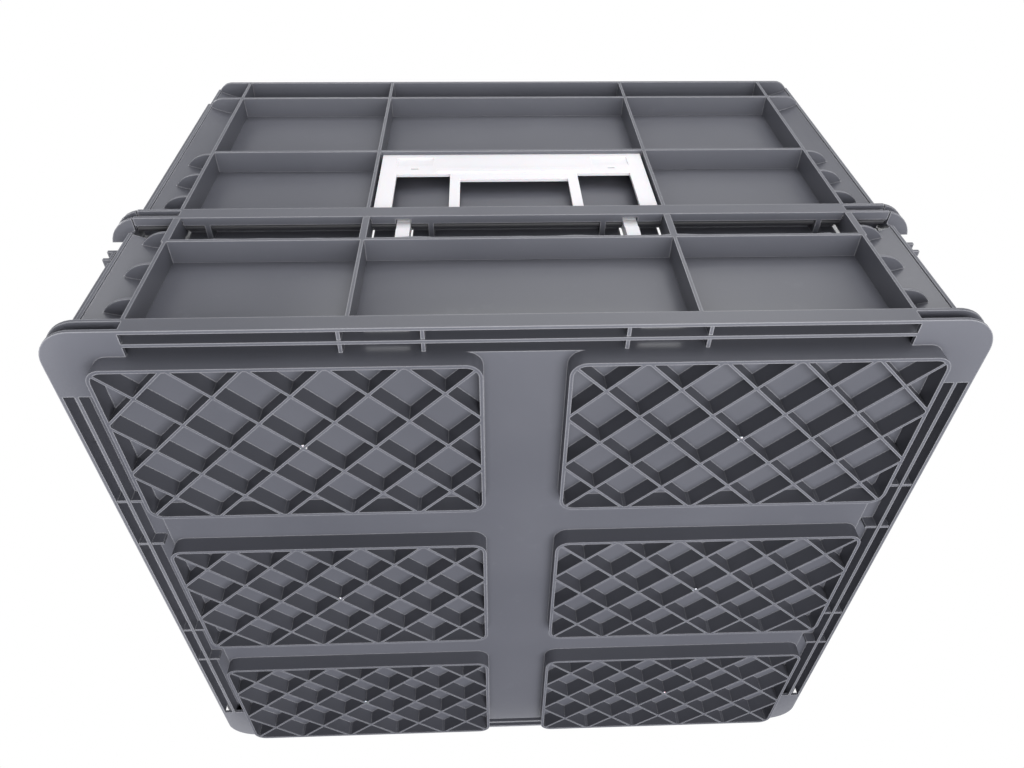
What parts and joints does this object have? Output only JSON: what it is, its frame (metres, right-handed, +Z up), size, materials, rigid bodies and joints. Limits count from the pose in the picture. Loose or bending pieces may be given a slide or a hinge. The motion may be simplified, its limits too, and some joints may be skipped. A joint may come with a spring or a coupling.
{
  "type": "collapsible storage crate",
  "caption": "Collapsible ribbed storage crate with a lattice-footed lower tray, inward-folding walls on hinge rods, and a white card holder.",
  "frame": {"origin": "centre of the footprint, on the floor under the feet", "axes": "+Z up, X along the long walls, the card holder's wall faces -Y"},
  "size_m": [0.6, 0.55, 0.4],
  "materials": {
    "crate_plastic": "semi-gloss moulded polypropylene, anthracite",
    "rod_plastic": "smooth moulded hinge rod",
    "natural_plastic": "natural translucent white polypropylene"
  },
  "bodies": {
    "tray": {"lower_tray": "crate_plastic", "front_hinge_rod": "rod_plastic", "rear_hinge_rod": "rod_plastic", "right_hinge_rod": "rod_plastic", "left_hinge_rod": "rod_plastic", "front_left_hinge_clip": "natural_plastic", "front_right_hinge_clip": "natural_plastic", "rear_left_hinge_clip": "natural_plastic", "rear_right_hinge_clip": "natural_plastic"},
    "front_wall": {"front_wall": "crate_plastic", "card_holder": "natural_plastic"},
    "rear_wall": {"rear_wall": "crate_plastic"},
    "right_wall": {"right_wall": "crate_plastic"},
    "left_wall": {"left_wall": "crate_plastic"}
  },
  "joints": [
    {"name": "front_wall_fold", "type": "hinge", "parent": "tray", "child": "front_wall", "pos_m": [0, -0.2645, 0.15], "axis": [-1, 0, 0], "range_deg": [0, 90]},
    {"name": "rear_wall_fold", "type": "hinge", "parent": "tray", "child": "rear_wall", "pos_m": [0, 0.2645, 0.15], "axis": [1, 0, 0], "range_deg": [0, 90]},
    {"name": "right_wall_fold", "type": "hinge", "parent": "tray", "child": "right_wall", "pos_m": [0.2895, 0, 0.128], "axis": [0, -1, 0], "range_deg": [0, 90]},
    {"name": "left_wall_fold", "type": "hinge", "parent": "tray", "child": "left_wall", "pos_m": [-0.2895, 0, 0.128], "axis": [0, 1, 0], "range_deg": [0, 90]}
  ]
}
